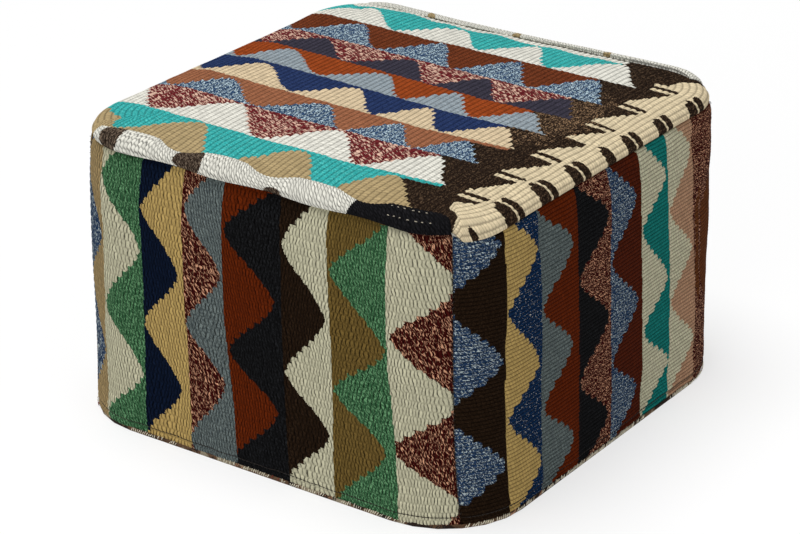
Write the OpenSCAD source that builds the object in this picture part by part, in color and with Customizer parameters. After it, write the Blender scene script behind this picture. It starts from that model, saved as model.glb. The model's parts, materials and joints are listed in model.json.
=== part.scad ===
// Kilim pouf. A woven cover of four side panels and a top, with a rolled edge along the
// front and the back, is sewn at its hem to a canvas base that opens with a zip. Inside are
// a cotton liner, wadding, a soft foam topper and a firm foam core.
// Millimetres. +X runs to the right along the front, +Y to the back and +Z up. The origin is
// the middle of the base, on the floor.

/* [Cover] */
// Width of the cover at the hem, both ways
hem_w = 609; // [580:1:640]
// Width of the cover at its top edge, both ways
top_w = 592; // [570:1:610]
// Height of the top edge above the floor
rim_h = 377; // [330:1:430]
// Rise of the middle of the top above the top edge
crown_h = 8; // [2:0.5:20]
// Rounding between the sides and the top
edge_r = 20; // [16:1:30]
// Outward belly in the middle of each side
side_belly_t = 4; // [0:0.5:10]
// Height above the hem over which the sides flare out to it
flare_h = 150; // [80:5:220]
// Thickness of the woven cover
kilim_t = 4; // [2.5:0.1:6]
// Gap left between the edges of panels at a seam
seam_gap = 0.3; // [0.2:0.05:0.6]

/* [Corners] */
// Upright corner radius at the hem
hem_corner_r = 108; // [90:1:140]
// Upright corner radius half way up
waist_corner_r = 88; // [50:1:110]
// Upright corner radius at the top edge
top_corner_r = 94; // [60:1:120]

/* [Top seam and rolled edges] */
// Drop of the top seam below the top edge on the left and right sides
side_seam_drop = 15; // [8:1:19]
// Drop of the top seam under the thick end of a rolled edge
thick_roll_drop = 9; // [6:1:15]
// Drop of the top seam under the thin end of a rolled edge
thin_roll_drop = 6; // [4:1:12]
// How far the thick end of a rolled edge stands proud
thick_roll_t = 8; // [4:0.5:9]
// How far the thin end of a rolled edge stands proud
thin_roll_t = 5; // [2:0.5:8]
// How far a rolled edge reaches in over the flat of the top
roll_lap = 13; // [6:1:24]

/* [Hem and canvas base] */
// Height of the underside of the canvas base above the floor
base_lift = 9.5; // [9:0.1:14]
// Thickness of the canvas
canvas_t = 1.6; // [0.8:0.1:2.4]
// Thickness of the overcast thread round the bottom edge
overcast_t = 0.6; // [0.4:0.1:1]
// Height of the overcast thread up the cover
overcast_h = 5; // [3:0.5:8]
// Slack between the cover, the canvas and the overcast thread
hem_slack = 0.3; // [0.2:0.05:0.5]

/* [Zip] */
// Length of the slot in the canvas that the zip closes
zip_l = 470; // [300:10:520]
// Distance from tooth to tooth along one row
tooth_pitch = 4.5; // [4:0.1:6]
// Height of a tooth
tooth_h = 2.8; // [2.2:0.1:3.2]
// Width of each tape
tape_w = 15; // [11:0.5:18]
// Thickness of the tapes
tape_t = 0.7; // [0.5:0.05:0.9]
// Clearance between the slider and what passes through it
slider_gap = 0.3; // [0.2:0.05:0.45]
// Thickness of the slider's plates
slider_plate_t = 1.3; // [1:0.1:1.6]
// Length of the slider
slider_l = 18; // [15:0.5:22]
// Length of the pull from its pivot to its end
pull_l = 30; // [22:1:40]
// Width of the pull
pull_w = 8; // [7:0.5:11]
// Thickness of the pull
pull_t = 1.2; // [0.8:0.1:1.4]

/* [Filling] */
// Thickness of the cotton liner
liner_t = 0.8; // [0.4:0.1:1.5]
// Thickness of the wadding
wadding_t = 11.5; // [4:0.5:14]
// Thickness of the foam topper at the edge
topper_t = 58; // [20:1:90]
// Gap between one layer of the filling and the next
layer_gap = 0.6; // [0.4:0.05:0.9]

/* [Hidden] */

// Columns of the surface: each side runs from the middle of one corner to the middle of the next
corner_steps = 3;
straight_steps = 5;
side_steps = 2 * corner_steps + straight_steps;
columns = 4 * side_steps;
FRONT = 0;
RIGHT = 1;
BACK = 2;
LEFT = 3;

// Hem: canvas, tapes and the overcast thread, from the floor up
cloth_foot_z = overcast_t + hem_slack;
canvas_top_z = base_lift + canvas_t;
hem_h = canvas_top_z + 0.9;
canvas_inset = kilim_t + hem_slack;
flare = (hem_w - top_w) / 2;

// Filling: how far each layer lies inside the face of the cover
liner_inset = kilim_t + layer_gap;
wadding_inset = liner_inset + liner_t + layer_gap;
foam_inset = wadding_inset + wadding_t + layer_gap;
liner_base_z = canvas_top_z + seam_gap;
liner_body_z = liner_base_z + liner_t + seam_gap;
foam_base_z = liner_base_z + liner_t + seam_gap;
topper_base_z = rim_h - foam_inset - topper_t;

// Heights of the rows of the sides, from the hem to the shoulder below the top seam
wall_rows = 4;
wall_z = concat(
    [for (n = [0 : wall_rows]) hem_h + (topper_base_z - hem_h) * n / wall_rows],
    [rim_h - edge_r - 7]
);
edge_rows = 4;
crown_rows = 3;

// Zip: rows of teeth, seen from below, close against the stop at the right end
tooth_head_w = tooth_pitch / 2 + 0.1;
tooth_neck_w = tooth_pitch / 2 - 0.7;
tooth_reach = 1.5;
tooth_root = 4.5;
tape_edge = 2.4;
tape_z = canvas_top_z;
tape_mid_z = tape_z + tape_t / 2;
chain_back = 7;
slider_room_l = 22;
tape_tail = 11;
tape_l = zip_l + 2 * tape_tail;
chain_start = -zip_l / 2 + chain_back;
chain_end = zip_l / 2 - slider_room_l;
teeth_per_row = floor((chain_end - chain_start - tooth_pitch / 2) / tooth_pitch);
last_tooth = chain_start + (teeth_per_row - 0.5) * tooth_pitch;
stop_l = 4;
slider_x = last_tooth + 1;
slider_room = tooth_root + slider_gap;
slider_wall = 1.1;
slider_half_w = slider_room + slider_wall;
slot_half_w = slider_half_w + 0.7;
slider_low_z = tape_mid_z - tooth_h / 2 - slider_gap;
slider_high_z = tape_mid_z + tooth_h / 2 + slider_gap;
slider_top_z = slider_high_z + slider_plate_t;
slider_under_z = slider_low_z - slider_plate_t;
bail_bar_t = 0.8;
bail_w = 2.2;
bail_l = 11;
bail_post_t = 1.2;
pivot_r = 0.65;
pivot_gap = 0.3;
pivot_z = slider_under_z - pivot_gap - pivot_r;
bail_under_z = pivot_z - pivot_r - pivot_gap - bail_bar_t;
arm_gap = 0.5;
pull_hole_r = 1.8;
pull_tip_lift = 0.4;
pull_droop = asin((pivot_z - pull_t / 2 - pull_tip_lift) / pull_l);

// Groove in the underside of the filling, over the zip
groove_half_w = slider_half_w + 3;
groove_foot = tape_w + tape_edge + 3;
groove_rise = slider_top_z + 0.4 - liner_base_z;
groove_half_l = tape_l / 2 + 3;

function mix(a, b, t) = a + (b - a) * t;

// Half width and corner radius of the cover's face at a height
function wall_half(z) = top_w / 2 + flare * pow(max(0, 1 - max(0, z - hem_h) / flare_h), 2);
function wall_corner(z) =
    let (t = max(0, z - hem_h) / (rim_h - hem_h))
    hem_corner_r * (1 - t) * (1 - 2 * t) + 4 * waist_corner_r * t * (1 - t)
    + top_corner_r * t * (2 * t - 1);
function wall_belly(z) = side_belly_t * sin(180 * max(0, z - hem_h) / (rim_h - hem_h));

// Column k of one side, as distance along the side and distance out from the middle
function side_point(k, along, out, r, belly) =
    k <= corner_steps
    ? let (a = 45 * (1 - k / corner_steps)) [r - along - r * sin(a), out - r + r * cos(a)]
    : k < corner_steps + straight_steps
    ? let (t = 2 * (k - corner_steps) / straight_steps - 1)
        [t * (along - r), out + belly * (1 - t * t)]
    : let (a = 45 * (k - corner_steps - straight_steps) / corner_steps)
        [along - r + r * sin(a), out - r + r * cos(a)];
function turned(p, side) =
    side == FRONT ? [p[0], -p[1]]
    : side == RIGHT ? [p[1], p[0]]
    : side == BACK ? [-p[0], p[1]]
    : [-p[1], -p[0]];
function side_of(i) = floor(i / side_steps) % 4;
function step_of(i) = i % side_steps;
function plan_point(i, half_x, half_y, r, belly) =
    let (side = side_of(i), sideways = side % 2 == 1)
    turned(side_point(step_of(i), sideways ? half_y : half_x, sideways ? half_x : half_y,
                      r, belly), side);
function at(p, z) = [p[0], p[1], z];

// A point of the sides at height z, lying inset inside the face
function wall_point(i, z, inset) =
    let (half = wall_half(z) - inset)
    at(plan_point(i, half, half, wall_corner(z) - inset, wall_belly(z)), z);

// Drop of the top seam at a column
function seam_drop(i) =
    let (side = side_of(i), k = step_of(i), t = (k - 1) / (side_steps - 2))
    side % 2 == 1 || k == 0 ? side_seam_drop : mix(thick_roll_drop, thin_roll_drop, t);

// A point of the rounded top edge, t running from the top seam (0) to the flat of the top (1)
function edge_point(i, t, inset) =
    let (start = asin(1 - seam_drop(i) / edge_r),
         turn = mix(start, 90, t),
         r = max(edge_r - inset, 0.5),
         centre = inset + r,
         z = rim_h - edge_r * (1 - sin(turn)),
         half = wall_half(z) - centre + r * cos(turn))
    at(plan_point(i, half, half, max(1, wall_corner(z) - centre + r * cos(turn)), wall_belly(z)),
       rim_h - centre + r * sin(turn));

// A point of the crowned top, f running from the rounded edge (0) to the middle (1)
function crown_point(i, f, inset) =
    let (p = edge_point(i, 1, inset))
    [p[0] * (1 - f), p[1] * (1 - f), rim_h - inset + crown_h * (1 - pow(1 - f, 2))];

// Rings of points from the seam to the top, and from a foot up through the sides to the seam
function top_rings(inset) = concat(
    [for (n = [0 : edge_rows]) [for (i = [0 : columns - 1]) edge_point(i, n / edge_rows, inset)]],
    [for (n = [1 : crown_rows - 1])
        [for (i = [0 : columns - 1]) crown_point(i, n / crown_rows, inset)]]
);
function wall_rings(heights, inset) =
    [for (z = heights) [for (i = [0 : columns - 1]) wall_point(i, z, inset)]];
function top_middle(inset) = [0, 0, rim_h - inset + crown_h];
function rows_above(z) = [for (h = wall_z) if (h > z + 1) h];
function rows_between(low, high) = [for (h = wall_z) if (h > low + 1 && h < high - 1) h];

// Faces. Grids of points run column by column to the right and row by row upwards.
function quad(a, b, c, d) = [[a, b, c], [a, c, d]];
function strip(a, b, count, wrap) =
    [for (n = [0 : count - (wrap ? 1 : 2)], f = quad(a + n, b + n, b + (n + 1) % count,
                                                      a + (n + 1) % count)) f];

// A closed block through rings, with its ends closed to a middle point
module ring_block(rings, bottom, top) {
    n = len(rings[0]);
    last = len(rings) - 1;
    points = concat([for (ring = rings, p = ring) p], [bottom, top]);
    sides = [for (m = [0 : last - 1], f = strip(m * n, (m + 1) * n, n, true)) f];
    floor_fan = [for (i = [0 : n - 1]) [i, (i + 1) % n, len(points) - 2]];
    roof_fan = [for (i = [0 : n - 1])
        [last * n + (i + 1) % n, last * n + i, len(points) - 1]];
    polyhedron(points, concat(sides, floor_fan, roof_fan), convexity = 6);
}

// A skin between an outer and an inner set of rings, open below and closed over the top
module ring_shell(outer, outer_top, inner, inner_top) {
    n = len(outer[0]);
    last = len(outer) - 1;
    size = n * len(outer);
    points = concat([for (ring = outer, p = ring) p], [for (ring = inner, p = ring) p],
                    [outer_top, inner_top]);
    face = [for (m = [0 : last - 1], f = strip(m * n, (m + 1) * n, n, true)) f];
    lining = [for (f = face) [f[0] + size, f[2] + size, f[1] + size]];
    foot = [for (i = [0 : n - 1], f = quad(i, (i + 1) % n, size + (i + 1) % n, size + i)) f];
    roof = [for (i = [0 : n - 1]) [last * n + (i + 1) % n, last * n + i, len(points) - 2]];
    ceiling = [for (i = [0 : n - 1])
        [size + last * n + i, size + last * n + (i + 1) % n, len(points) - 1]];
    polyhedron(points, concat(face, lining, foot, roof, ceiling), convexity = 6);
}

// A curved slab between an outer and an inner grid, each a list of columns of points
module grid_slab(outer, inner) {
    rows = len(outer[0]);
    cols = len(outer);
    size = rows * cols;
    points = concat([for (c = outer, p = c) p], [for (c = inner, p = c) p]);
    face = [for (c = [0 : cols - 2], r = [0 : rows - 2],
                 f = quad(c * rows + r, c * rows + r + 1, (c + 1) * rows + r + 1,
                          (c + 1) * rows + r)) f];
    lining = [for (f = face) [f[0] + size, f[2] + size, f[1] + size]];
    low = [for (c = [0 : cols - 2],
                f = quad(c * rows, (c + 1) * rows, size + (c + 1) * rows, size + c * rows)) f];
    high = [for (c = [0 : cols - 2], t = [rows - 1],
                 f = quad((c + 1) * rows + t, c * rows + t, size + c * rows + t,
                          size + (c + 1) * rows + t)) f];
    near = [for (r = [0 : rows - 2], f = quad(r + 1, r, size + r, size + r + 1)) f];
    far = [for (r = [0 : rows - 2], e = [(cols - 1) * rows],
                f = quad(e + r, e + r + 1, size + e + r + 1, size + e + r)) f];
    polyhedron(points, concat(face, lining, low, high, near, far), convexity = 6);
}

// One column of a side panel; the two end columns stand back from the corner seam
function panel_column(side, k, inset) =
    let (i = (side * side_steps + k) % columns,
         back = seam_gap / 2 * (k == 0 ? 1 : k == side_steps ? -1 : 0) * sin(45),
         shift = turned([back, abs(back)], side),
         seam = edge_point(i, 0, inset),
         column = concat([wall_point(i, cloth_foot_z, inset)],
                         [for (z = wall_z) wall_point(i, z, inset)],
                         [at(seam, seam[2] - seam_gap)]))
    [for (p = column) [p[0] + shift[0], p[1] + shift[1], p[2]]];
module side_panel(side) {
    grid_slab([for (k = [0 : side_steps]) panel_column(side, k, 0)],
              [for (k = [0 : side_steps]) panel_column(side, k, kilim_t)]);
}

// A rolled edge lies over the top edge of the front or the back. Seen from outside that side,
// it is thick at its left end and thin at its right end.
roll_section = [0.45, 1, 1, 0.95, 0.75, 0.15];
roll_ends = 0.55;
function roll_point(i, n, proud) =
    n > edge_rows ? crown_point(i, roll_lap / (top_w / 2 - edge_r), -proud)
    : edge_point(i, n / edge_rows, -proud);
function roll_at(side, u, n, proud) =
    let (first = side * side_steps + floor(u), t = u - floor(u),
         a = roll_point(first % columns, n, proud),
         b = roll_point((first + 1) % columns, n, proud))
    t == 0 ? a : mix(a, b, t);
function roll_columns() = concat([roll_ends], [for (k = [1 : side_steps - 1]) k],
                                 [side_steps - roll_ends]);
function roll_proud(u) =
    let (t = (u - 1) / (side_steps - 2), end = u < 1 || u > side_steps - 1 ? 0.35 : 1)
    end * mix(thick_roll_t, thin_roll_t, max(0, min(1, t)));
module rolled_edge(side) {
    rows = [0 : len(roll_section) - 1];
    grid_slab(
        [for (u = roll_columns()) [for (n = rows)
            roll_at(side, u, n, seam_gap + roll_section[n] * roll_proud(u))]],
        [for (u = roll_columns()) [for (n = rows) roll_at(side, u, n, seam_gap)]]
    );
}

module top_panel() color("saddlebrown")
    ring_shell(top_rings(0), top_middle(0), top_rings(kilim_t), top_middle(kilim_t));
module side_panel_front() color("olivedrab") side_panel(FRONT);
module side_panel_right() color("steelblue") side_panel(RIGHT);
module side_panel_back() color("tan") side_panel(BACK);
module side_panel_left() color("darkkhaki") side_panel(LEFT);
module front_rolled_edge() color("linen") rolled_edge(FRONT);
module back_rolled_edge() color("linen") rolled_edge(BACK);

// Outline of the upright skirt below the hem seam, lying inset inside its face
module skirt_outline(inset) {
    half = hem_w / 2 - inset;
    polygon([for (i = [0 : columns - 1]) plan_point(i, half, half, hem_corner_r - inset, 0)]);
}
module skirt_band(outer_inset, inner_inset, z, h) {
    translate([0, 0, z]) linear_extrude(h) difference() {
        skirt_outline(outer_inset);
        skirt_outline(inner_inset);
    }
}

// Thread that binds the raw edges of the cover and the canvas together, open at the top
module hem_overcast() color("ivory") {
    outer = -hem_slack - overcast_t;
    inner = canvas_inset + canvas_t + hem_slack + overcast_t;
    difference() {
        skirt_band(outer, inner, 0, overcast_h);
        skirt_band(outer + overcast_t, inner - overcast_t, overcast_t, overcast_h);
    }
}

// Half of the base: a flat canvas panel whose edge turns down inside the cover
module base_canvas(front) {
    difference() {
        union() {
            translate([0, 0, base_lift]) linear_extrude(canvas_t) skirt_outline(canvas_inset);
            skirt_band(canvas_inset, canvas_inset + canvas_t, cloth_foot_z,
                       canvas_top_z - cloth_foot_z);
        }
        translate([-hem_w, front ? -seam_gap / 2 : seam_gap / 2 - hem_w, -1])
            cube([2 * hem_w, hem_w, 2 * hem_h]);
        translate([-zip_l / 2, -slot_half_w, -1]) cube([zip_l, 2 * slot_half_w, 2 * hem_h]);
    }
}
module base_canvas_front() color("wheat") base_canvas(true);
module base_canvas_rear() color("wheat") base_canvas(false);

// Everything on the rear half of the zip is the front half's turned half way round
module zip_side(front) rotate([0, 0, front ? 180 : 0]) children();

module zip_tape() {
    translate([-tape_l / 2, tape_edge, tape_z]) cube([tape_l, tape_w, tape_t]);
}
module zip_tape_front() color("beige") zip_side(true) zip_tape();
module zip_tape_rear() color("beige") zip_side(false) zip_tape();

// A moulded tooth: two jaws clamp the tape, and a neck carries the wider head that locks
module zip_tooth() {
    head = tooth_head_w / 2;
    neck = tooth_neck_w / 2;
    difference() {
        translate([0, 0, tape_mid_z - tooth_h / 2]) linear_extrude(tooth_h) polygon([
            [-head, tooth_root], [head, tooth_root], [head, tape_edge], [neck, tape_edge],
            [neck, -0.3], [head, -0.3], [head * 0.7, -tooth_reach], [-head * 0.7, -tooth_reach],
            [-head, -0.3], [-neck, -0.3], [-neck, tape_edge], [-head, tape_edge]
        ]);
        translate([-tooth_pitch, tape_edge, tape_z])
            cube([2 * tooth_pitch, tooth_root, tape_t]);
    }
}
module tooth_row(front) {
    shift = front ? 0 : tooth_pitch / 2;
    for (n = [0 : teeth_per_row - 1])
        translate([chain_start + n * tooth_pitch + shift, 0, 0])
            mirror([0, front ? 1 : 0, 0]) zip_tooth();
}
module zip_teeth_front() color("darkslategray") tooth_row(true);
module zip_teeth_rear() color("darkslategray") tooth_row(false);

// A stop clamps the tape, one bridging both tapes and one on the edge of each
module zip_stop(length, near, far) {
    h = tooth_h + 0.2;
    difference() {
        translate([-length / 2, near, tape_mid_z - h / 2]) cube([length, far - near, h]);
        translate([-length, tape_edge, tape_z]) cube([2 * length, tape_w, tape_t]);
        translate([-length, -tape_edge - tape_w, tape_z]) cube([2 * length, tape_w, tape_t]);
    }
}
module zip_bottom_stop() color("gray")
    translate([chain_start - tooth_head_w / 2 - 0.3 - stop_l / 2, 0, 0])
        zip_stop(stop_l, -tooth_root, tooth_root);
module zip_top_stops() color("gray")
    for (turn = [0, 180]) translate([slider_x + slider_l / 2 + 0.5 + stop_l / 2, 0, 0])
        mirror([0, turn == 0 ? 0 : 1, 0]) zip_stop(stop_l, tape_edge - 0.8, tooth_root);

// The slider: two plates joined by a post, with lips round the teeth and a bail for the pull
module slider_outline(half_w) {
    rear = -slider_l / 2;
    polygon([
        [rear, -half_w + 0.9], [rear + 2, -half_w + 0.4], [slider_l / 2 - 3, -half_w],
        [slider_l / 2, -half_w + 1.5], [slider_l / 2, half_w - 1.5], [slider_l / 2 - 3, half_w],
        [rear + 2, half_w - 0.4], [rear, half_w - 0.9]
    ]);
}
module slider_lips(z, h) {
    translate([0, 0, z]) linear_extrude(h) difference() {
        intersection() {
            slider_outline(slider_half_w);
            square([slider_l - 2, 2 * slider_half_w], center = true);
        }
        square([slider_l + 2, 2 * slider_room], center = true);
    }
}
module zip_slider() color("goldenrod") translate([slider_x, 0, 0]) {
    lip_low = tape_z - slider_gap - slider_low_z;
    lip_high = slider_high_z - tape_z - tape_t - slider_gap;
    translate([0, 0, slider_under_z]) linear_extrude(slider_plate_t)
        slider_outline(slider_half_w);
    translate([0, 0, slider_high_z]) linear_extrude(slider_plate_t)
        slider_outline(slider_half_w);
    slider_lips(slider_low_z, lip_low);
    slider_lips(slider_high_z - lip_high, lip_high);
    translate([slider_l / 2 - 3.4, 0, slider_under_z])
        cylinder(r = 1.4, h = slider_top_z - slider_under_z, $fn = 40);
    for (end = [-1, 1])
        translate([end * (bail_l - bail_post_t) / 2 - bail_post_t / 2, -bail_w / 2, bail_under_z])
            cube([bail_post_t, bail_w, slider_under_z + 0.5 - bail_under_z]);
    translate([-bail_l / 2, -bail_w / 2, bail_under_z]) cube([bail_l, bail_w, bail_bar_t]);
}

// The pull: a round pivot bar through the bail, two arms and a tab with a hole
module zip_pull() color("goldenrod")
    translate([slider_x, 0, pivot_z]) rotate([0, -pull_droop, 0]) {
        arm_l = bail_l / 2 + 2.5;
        arm_w = (pull_w - bail_w) / 2 - arm_gap;
        rotate([90, 0, 0])
            cylinder(r = pivot_r, h = pull_w - 0.2, center = true, $fn = 40);
        for (end = [-1, 1])
            translate([-arm_l, end * (pull_w - arm_w) / 2 - arm_w / 2, -pull_t / 2])
                cube([arm_l, arm_w, pull_t]);
        difference() {
            translate([0, 0, -pull_t / 2]) linear_extrude(pull_t) union() {
                translate([-pull_l + pull_w / 2, -pull_w / 2])
                    square([pull_l - pull_w / 2 - arm_l + 0.2, pull_w]);
                translate([-pull_l + pull_w / 2, 0]) circle(d = pull_w, $fn = 48);
            }
            translate([-pull_l + pull_w / 2, 0, -pull_t])
                cylinder(r = pull_hole_r, h = 2 * pull_t, $fn = 40);
        }
    }

// Rings of the groove over the zip, in a sheet or block whose underside is at z
function groove_rings(z) = [
    [for (i = [0 : columns - 1])
        at(plan_point(i, groove_half_l, groove_foot, groove_foot / 2, 0), z)],
    [for (i = [0 : columns - 1])
        at(plan_point(i, groove_half_l - 8, groove_half_w, groove_half_w / 2, 0),
           z + groove_rise)]
];
function sheet_rings(z) = concat(
    [[for (i = [0 : columns - 1]) at(wall_point(i, z, liner_inset), z)]], groove_rings(z));

module liner_body() color("whitesmoke") {
    inner_inset = liner_inset + liner_t;
    heights = concat([liner_body_z], rows_above(liner_body_z));
    ring_shell(concat(wall_rings(heights, liner_inset), top_rings(liner_inset)),
               top_middle(liner_inset),
               concat(wall_rings(heights, inner_inset), top_rings(inner_inset)),
               top_middle(inner_inset));
}
module liner_base() color("whitesmoke") {
    top = liner_base_z + liner_t;
    ring_shell(sheet_rings(top), [0, 0, top + groove_rise],
               sheet_rings(liner_base_z), [0, 0, liner_base_z + groove_rise]);
}
module batting_wrap() color("white") {
    inner_inset = wadding_inset + wadding_t;
    heights = concat([foam_base_z], rows_above(foam_base_z));
    ring_shell(concat(wall_rings(heights, wadding_inset), top_rings(wadding_inset)),
               top_middle(wadding_inset),
               concat(wall_rings(heights, inner_inset), top_rings(inner_inset)),
               top_middle(inner_inset));
}
module foam_topper() color("lightyellow") {
    heights = concat([topper_base_z + seam_gap], rows_above(topper_base_z));
    ring_block(concat(wall_rings(heights, foam_inset), top_rings(foam_inset)),
               [0, 0, topper_base_z + seam_gap], top_middle(foam_inset));
}
module foam_core() color("khaki") {
    groove = groove_rings(foam_base_z);
    heights = concat([foam_base_z], rows_between(foam_base_z, topper_base_z), [topper_base_z]);
    ring_block(concat([groove[1], groove[0]], wall_rings(heights, foam_inset)),
               [0, 0, foam_base_z + groove_rise], [0, 0, topper_base_z]);
}

top_panel();
side_panel_front();
side_panel_right();
side_panel_back();
side_panel_left();
front_rolled_edge();
back_rolled_edge();
hem_overcast();
base_canvas_front();
base_canvas_rear();
zip_tape_front();
zip_tape_rear();
zip_teeth_front();
zip_teeth_rear();
zip_bottom_stop();
zip_top_stops();
zip_slider();
zip_pull();
liner_body();
liner_base();
batting_wrap();
foam_topper();
foam_core();
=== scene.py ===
"""Kilim pouf: the looks of each piece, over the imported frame. Lengths are in millimetres."""

import json
import math
import random

import bmesh
import bpy
import numpy as np
from mathutils import Matrix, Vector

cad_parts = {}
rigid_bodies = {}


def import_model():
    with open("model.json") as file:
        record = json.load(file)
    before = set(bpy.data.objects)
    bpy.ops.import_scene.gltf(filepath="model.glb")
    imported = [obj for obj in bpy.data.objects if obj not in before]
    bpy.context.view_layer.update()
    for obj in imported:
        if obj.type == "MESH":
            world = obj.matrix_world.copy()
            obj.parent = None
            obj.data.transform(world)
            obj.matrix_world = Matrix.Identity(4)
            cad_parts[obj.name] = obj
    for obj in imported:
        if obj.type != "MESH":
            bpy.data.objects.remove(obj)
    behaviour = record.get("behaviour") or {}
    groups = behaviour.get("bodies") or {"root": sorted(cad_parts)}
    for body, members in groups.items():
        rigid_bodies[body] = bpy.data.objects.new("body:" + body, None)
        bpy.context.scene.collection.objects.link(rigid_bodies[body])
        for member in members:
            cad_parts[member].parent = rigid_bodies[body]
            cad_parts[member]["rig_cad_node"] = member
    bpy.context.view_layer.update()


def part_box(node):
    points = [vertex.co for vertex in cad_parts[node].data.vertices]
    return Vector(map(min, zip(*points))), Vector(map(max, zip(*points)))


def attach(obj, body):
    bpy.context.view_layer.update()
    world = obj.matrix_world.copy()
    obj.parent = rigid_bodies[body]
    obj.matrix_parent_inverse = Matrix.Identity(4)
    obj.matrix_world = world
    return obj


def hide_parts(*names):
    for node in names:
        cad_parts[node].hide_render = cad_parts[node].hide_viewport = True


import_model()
MM = 0.001
FRONT, RIGHT, BACK, LEFT = range(4)
SIDE_NAMES = ("front", "right", "back", "left")

# Sizes of the cover, as in the CAD
HEM_W, TOP_W, RIM_H, CROWN_H, EDGE_R = 609.0, 592.0, 377.0, 8.0, 20.0
BELLY, FLARE_H, KILIM_T, HEM_H, FOOT_Z = 4.0, 150.0, 4.0, 12.0, 0.9
HEM_R, WAIST_R, TOP_R = 108.0, 88.0, 94.0
SIDE_DROP, THICK_DROP, THIN_DROP = 15.0, 9.0, 6.0
THICK_ROLL, THIN_ROLL = 8.0, 5.0
STRAIGHT = TOP_W / 2 - TOP_R
TOP_HALF = TOP_W / 2 - EDGE_R
SIDE_ARC = math.pi / 2 - math.asin(1 - SIDE_DROP / EDGE_R)
TOP_REACH = TOP_HALF + SIDE_ARC * EDGE_R
SIDE_REACH, RIM_REACH = 278.0, 276.0

# The weave: floats lie side by side over thick ribs
DASH, SIDE_RIB, TOP_RIB = 4.8, 9.75, 8.2
RIBS_PER_STEP = (1, 2, 1, 2)
RELIEF = 1.3
FLECK_LEAN = 0.4

rng = random.Random(7)


def ramp(x, start, width):
    """0 up to start, then rising to 1 over a width."""
    return np.clip((x - start) / width, 0, 1)


def bell(x, width):
    return np.exp(-(x / width) ** 2)


# Shape of the cover

def wall_plan(c, z, offset):
    """Distance along a side and out from the middle, for c from -1 to 1 between corner middles."""
    above = np.maximum(0, z - HEM_H)
    t = above / (RIM_H - HEM_H)
    half = TOP_W / 2 + (HEM_W - TOP_W) / 2 * np.maximum(0, 1 - above / FLARE_H) ** 2 + offset
    r = HEM_R * (1 - t) * (1 - 2 * t) + 4 * WAIST_R * t * (1 - t) + TOP_R * t * (2 * t - 1) + offset
    belly = BELLY * np.sin(np.pi * above / (RIM_H - HEM_H))
    straight = half - r
    s = c * (straight + r * math.pi / 4)
    a = np.maximum(0, np.abs(s) - straight) / np.maximum(r, 1)
    flat = np.abs(s) < straight
    along = np.where(flat, s, np.sign(s) * (straight + r * np.sin(a)))
    out = np.where(flat, half + belly * (1 - (s / straight) ** 2), half - r + r * np.cos(a))
    return along, out


def turned(along, out, z, side):
    pairs = (along, -out), (out, along), (-along, out), (-out, -along)
    return np.stack([*pairs[side], np.broadcast_to(z, along.shape)], -1)


def seam_drop(thin, by_corner):
    """Drop of the top seam below the top edge: less at a roll's thin end, more past its ends."""
    return (THICK_DROP + (THIN_DROP - THICK_DROP) * thin) * (1 - by_corner) + SIDE_DROP * by_corner


def drop_at(side, c):
    if side in (RIGHT, LEFT):
        return np.full_like(c, SIDE_DROP)
    s = c * (STRAIGHT + TOP_R * math.pi / 4)
    turn = np.maximum(0, np.abs(s) - STRAIGHT) / TOP_R
    reach = STRAIGHT + TOP_R * math.pi / 6
    return seam_drop(ramp(s, -reach, 2 * reach), ramp(turn, math.pi / 6, math.pi / 12))


def edge_place(side, c, turn, proud):
    """A point of the rounded top edge at an angle from the side (0) to the top (90 degrees)."""
    r = EDGE_R + proud
    along, out = wall_plan(c, RIM_H - EDGE_R + EDGE_R * np.sin(turn), r * np.cos(turn) - EDGE_R)
    return turned(along, out, RIM_H - EDGE_R + r * np.sin(turn), side)


# How much fuller the cushion stands at its corners: front right, back right, back left, front left
CORNER_FULL = (0.0, 7.0, 2.5, 4.0)


def fullness(side, c, z):
    corner = np.where(c > 0, CORNER_FULL[side], CORNER_FULL[side - 1])
    return corner * bell(1 - np.abs(c), 0.28) * np.sin(np.pi * np.clip(z / RIM_H, 0, 1) ** 0.6)


def wall_place(side, c, z):
    """A point of a side; near the top it follows the rounding in to the seam."""
    turn = np.arcsin(ramp(z - RIM_H, -EDGE_R, EDGE_R))
    along, out = wall_plan(c, z, fullness(side, c, z) - EDGE_R * (1 - np.cos(turn)))
    return turned(along, out, z, side)


def twist(z):
    """The cover sits a little twisted: its upright seams lean back from the hem up, as a share of a side."""
    return -0.041 * (1 - np.exp(-z / 90.0))


# Middles of the soft changes at two corners, how far each reaches, and by how much it moves the cover
NEAR_CORNER, DROOP_REACH, DROOP = (272, -258), 42, 7.5
FAR_CORNER, FULL_REACH, FULLER = (272, 272), 60, 3.0


def away_from(p, corner):
    return np.hypot(p[..., 0] - corner[0], p[..., 1] - corner[1])


def droop(p):
    """How much lower the seam of the top hangs beside the front right corner."""
    return DROOP * bell(away_from(p, NEAR_CORNER), DROOP_REACH) * ramp(p[..., 0] + p[..., 1], -12, 14)


def unevenly_filled(p):
    """The filling stands a little higher on the left and pushes out the back right corner."""
    high_up = ramp(p[..., 2], 270, 80)
    out = FULLER * high_up * bell(away_from(p, FAR_CORNER), FULL_REACH)
    lift = FULLER * high_up * ramp(-p[..., 0], 100, 150) * ramp(p[..., 1], -320, 220)
    return p + np.stack([out, out, lift], -1)


def twisted_place(side, c, z):
    """A point of a twisted side panel, which runs past a corner on to the next side."""
    c = c + twist(z)
    here = wall_place(side, np.clip(c, -1, 1), z)
    before = wall_place((side - 1) % 4, np.clip(c + 2, -1, 1), z)
    return unevenly_filled(np.where((c < -1)[..., None], before, here))


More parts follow.
